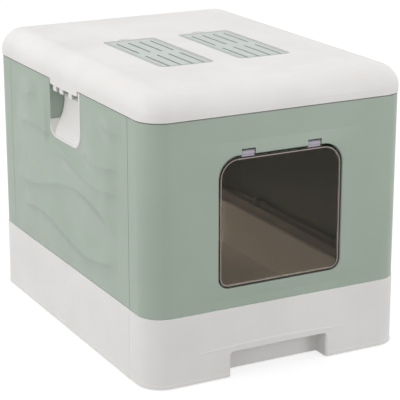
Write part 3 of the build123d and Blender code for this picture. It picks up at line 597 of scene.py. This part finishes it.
# ---------------------------------------------------------------------------
# Vent covers.  Slotted grey-green polypropylene plates that lie in the
# pockets and lift from the thumb scoops.
# ---------------------------------------------------------------------------
vent_plastic = moulded_polypropylene("moulded_grey_polypropylene", "B2B8B5", "B7BDBA", 0.40, 0.00005)
finish(vent_plastic, "left_vent_cover", "right_vent_cover")

# The slotted field of each cover is painted a little paler and greener than
# its border: painted light, for the lighter look of the slotted field under
# the lamps.  Only its colour is drawn.
tree = vent_plastic.node_tree
place = add(tree, "ShaderNodeTexCoord").outputs["Object"]
split = add(tree, "ShaderNodeSeparateXYZ", {"Vector": place})
COVER_MIDDLE = (0.058, -0.0155)      # m, from the lid's middle, on either side
FIELD_HALF = (0.0325, 0.0845)
mirrored = add(tree, "ShaderNodeMath", {0: split.outputs["X"]}, operation="ABSOLUTE")
sides = []
for coordinate, middle, half in zip((mirrored.outputs[0], split.outputs["Y"]), COVER_MIDDLE, FIELD_HALF):
    off = add(tree, "ShaderNodeMath", {0: coordinate, 1: middle}, operation="SUBTRACT")
    off = add(tree, "ShaderNodeMath", {0: off.outputs[0]}, operation="ABSOLUTE")
    sides.append(add(tree, "ShaderNodeMath", {0: off.outputs[0], 1: half}, operation="SUBTRACT"))
edge = add(tree, "ShaderNodeMath", {0: sides[0].outputs[0], 1: sides[1].outputs[0]}, operation="MAXIMUM")
field = add(tree, "ShaderNodeMapRange", {"Value": edge.outputs[0], "From Min": 0.0008, "From Max": -0.0008})
plastic = next(node for node in tree.nodes if node.bl_idname == "ShaderNodeBsdfPrincipled")
plain = plastic.inputs["Base Color"].links[0].from_socket
painted_pale_field = add(
    tree, "ShaderNodeMix",
    {"Factor": field.outputs[0], 6: plain, 7: linear("C6CDC7")}, data_type="RGBA"
)
tree.links.new(painted_pale_field.outputs[2], plastic.inputs["Base Color"])


# ---------------------------------------------------------------------------
# Filter pads.  Loose lofty non-woven pads, black with the charcoal they
# hold, cut to size and laid in the pockets.
# ---------------------------------------------------------------------------
tree, out, felt = new_material("charcoal_nonwoven_pad")
place = add(tree, "ShaderNodeTexCoord").outputs["Object"]
# Fibres are about 0.05 mm thick; the tangle is drawn at 1 mm.
fibre = add(tree, "ShaderNodeTexNoise", {"Vector": place, "Scale": 1 / 0.001, "Detail": 6.0, "Distortion": 2.0})
tone = add(
    tree, "ShaderNodeMix",
    {"Factor": fibre.outputs["Fac"], 6: linear("151515"), 7: linear("3A3A3A")}, data_type="RGBA"
)
tuft = add(tree, "ShaderNodeBump", {"Height": fibre.outputs["Fac"], "Distance": 0.0006, "Strength": 0.8})
pad = add(
    tree, "ShaderNodeBsdfPrincipled",
    {"Base Color": tone.outputs[2], "Roughness": 0.95, "Normal": tuft.outputs[0], "Sheen Weight": 0.3}
)
tree.links.new(pad.outputs[0], out.inputs["Surface"])


def filter_pad(name, node):
    """A soft pad that fills the box of its CAD node.

    A rounded block: across and along follow |cos|^0.22 and |sin|^0.22 of the
    turn, drawn in by |cos|^0.35 of the tilt, and the height |sin|^0.35 of
    it.  The faces swell and sink by up to 0.3 mm, as loose wadding does.
    """
    (x0, y0, z0), (x1, y1, z1) = (np.array(corner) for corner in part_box(node))
    turn, tilt = np.meshgrid(
        np.linspace(0, 2 * np.pi, 241)[:-1], np.linspace(-np.pi / 2, np.pi / 2, 49)[1:-1], indexing="ij"
    )

    def bent(wave, power):
        return np.sign(wave) * np.abs(wave) ** power

    ring = bent(np.cos(tilt), 0.35)
    x = (x0 + x1) / 2 + (x1 - x0) / 2 * ring * bent(np.cos(turn), 0.22)
    y = (y0 + y1) / 2 + (y1 - y0) / 2 * ring * bent(np.sin(turn), 0.22)
    swell = 0.00015 * (np.sin(x / 0.011) * np.cos(y / 0.014) + np.sin(y / 0.023 + x / 0.031))
    z = (z0 + z1) / 2 + (z1 - z0) / 2 * bent(np.sin(tilt), 0.35) * 0.96 + swell * np.sign(tilt)
    points = np.stack([x, y, z], -1).reshape(-1, 3)
    index = np.arange(turn.size).reshape(turn.shape)
    after = np.roll(index, -1, axis=0)
    quads = np.stack([index[:, :-1], after[:, :-1], after[:, 1:], index[:, 1:]], -1).reshape(-1, 4)
    pad = new_piece(name, points, quads, felt)
    # The two small openings at the poles are closed by a flat face each.
    mesh = bmesh.new()
    mesh.from_mesh(pad.data)
    bmesh.ops.holes_fill(mesh, edges=[e for e in mesh.edges if e.is_boundary])
    mesh.to_mesh(pad.data)
    mesh.free()
    return pad


for side in ("left", "right"):
    pad = filter_pad(side + "_wadding", side + "_filter_pad")
    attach(pad, "lid")
    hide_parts(side + "_filter_pad")
